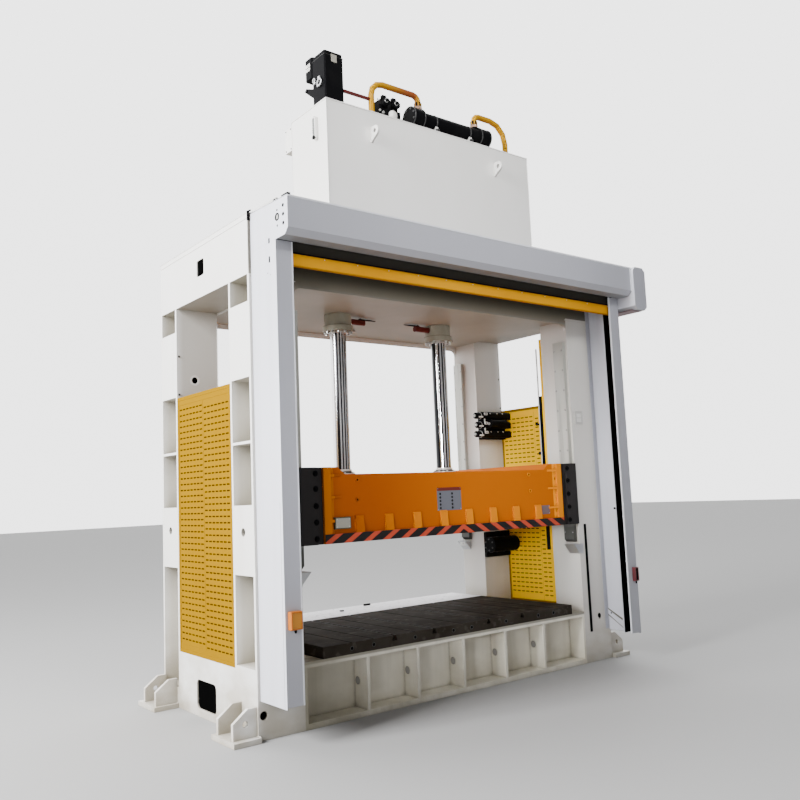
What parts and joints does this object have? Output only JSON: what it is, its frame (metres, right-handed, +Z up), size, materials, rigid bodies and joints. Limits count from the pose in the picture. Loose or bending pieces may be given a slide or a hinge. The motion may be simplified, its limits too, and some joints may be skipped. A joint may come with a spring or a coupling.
{
  "type": "hydraulic press",
  "caption": "Welded hydraulic press: crown, bed and corner columns, a guided slide on piston rods over a slotted bolster, an oil tank on top, side guards and a front roller shutter.",
  "frame": {"origin": "centre of the frame's footprint, at floor level", "axes": "+Z up, +Y to the back, +X to the right as seen from the front"},
  "size_m": [4.18, 2.239, 5.28],
  "materials": {
    "frame_paint": "satin cream-white machine paint",
    "tank_paint": "satin cream-white machine paint",
    "shutter_paint": "smooth lilac-grey powder coat",
    "guard_yellow": "yellow powder coat on punched sheet",
    "slide_orange": "satin orange machine paint",
    "gib_charcoal": "dark oiled iron",
    "rail_steel": "ground steel, oiled",
    "bolster_steel": "machined steel, darkened and worn",
    "deck_paint": "speckled light paint",
    "tray_steel": "folded bright sheet",
    "rod_chrome": "hard chrome, polished",
    "collar_steel": "turned steel",
    "gland_iron": "greenish-grey primed iron",
    "barrel_paint": "greenish-grey primer",
    "bolt_steel": "zinc-plated",
    "valve_red": "dark red paint",
    "black_paint": "black semi-gloss paint",
    "black_housing": "black-coated aluminium",
    "pipe_yellow": "gloss yellow paint",
    "pipe_red": "gloss dark red paint",
    "gauge_clear": "clear plastic",
    "shutter_bar": "yellow powder coat",
    "shutter_cloth": "coated dark cloth",
    "shutter_tube": "tube wound with dark cloth",
    "drive_cover": "lilac-grey powder coat",
    "sensor_plastic": "orange plastic",
    "trim_black": "black plastic",
    "switch_grey": "light grey plastic"
  },
  "bodies": {
    "frame": {"bed": "frame_paint", "bed_side_left": "frame_paint", "bed_side_right": "frame_paint", "bolster": "bolster_steel", "catch_trays": "tray_steel", "column_front_left": "frame_paint", "column_front_right": "frame_paint", "column_rear_left": "frame_paint", "column_rear_right": "frame_paint", "column_valve_block": "black_paint", "cooler_saddles": "tray_steel", "crown": "frame_paint", "cylinder_barrel_left": "barrel_paint", "cylinder_barrel_right": "barrel_paint", "encoder_strip": "trim_black", "foot_front_left": "frame_paint", "foot_front_right": "frame_paint", "foot_rear_left": "frame_paint", "foot_rear_right": "frame_paint", "gland_bolts": "bolt_steel", "gland_rings": "gland_iron", "guide_rail_front_left": "rail_steel", "guide_rail_front_right": "rail_steel", "guide_rail_rear_left": "rail_steel", "guide_rail_rear_right": "rail_steel", "header_end_left": "shutter_paint", "header_end_right": "shutter_paint", "level_gauge": "gauge_clear", "light_sensors": "sensor_plastic", "limit_switch_rail": "black_housing", "lock_cylinder": "black_paint", "motor_connector_box": "black_housing", "oil_cooler": "black_paint", "oil_tank": "tank_paint", "pressure_pipe": "pipe_yellow", "pump_motor": "black_paint", "rear_deck": "deck_paint", "return_pipe": "pipe_yellow", "shut_off_valves": "valve_red", "shutter_header": "shutter_paint", "shutter_motor_box": "drive_cover", "shutter_post_left": "shutter_paint", "shutter_post_right": "shutter_paint", "side_guard_left": "guard_yellow", "side_guard_right": "guard_yellow", "supply_pipe": "pipe_red", "switch_plate": "switch_grey", "tank_valve_box": "tank_paint", "valve_manifold": "black_housing"},
    "slide": {"slide": "slide_orange", "gib_blocks_left": "gib_charcoal", "gib_blocks_right": "gib_charcoal", "piston_rod_left": "rod_chrome", "piston_rod_right": "rod_chrome", "rod_flanges": "collar_steel"},
    "shutter_bar": {"shutter_bottom_bar": "shutter_bar", "shutter_curtain": "shutter_cloth"},
    "shutter_roll": {"shutter_roll": "shutter_tube"},
    "valve_lever_left": {"valve_lever_left": "black_paint"},
    "valve_lever_right": {"valve_lever_right": "black_paint"}
  },
  "joints": [
    {"name": "slide_travel", "type": "slide", "parent": "frame", "child": "slide", "axis": [0, 0, 1], "range_m": [-0.16, 1]},
    {"name": "shutter_lift", "type": "slide", "parent": "frame", "child": "shutter_bar", "axis": [0, 0, 1], "range_m": [-2.9, 0], "deforming": ["shutter_curtain"]},
    {"name": "shutter_wind", "type": "hinge", "parent": "frame", "child": "shutter_roll", "pos_m": [0, -1.208, 3.552], "axis": [1, 0, 0], "range_deg": [-2131, 0]},
    {"name": "left_valve_turn", "type": "hinge", "parent": "frame", "child": "valve_lever_left", "pos_m": [-0.337, 0, 3.213], "axis": [0, 0, -1], "range_deg": [0, 90]},
    {"name": "right_valve_turn", "type": "hinge", "parent": "frame", "child": "valve_lever_right", "pos_m": [0.337, 0, 3.213], "axis": [0, 0, 1], "range_deg": [0, 90]}
  ],
  "couplings": [
    {"joint": "shutter_wind", "follows": "shutter_lift", "rad_per_m": 12.821}
  ]
}
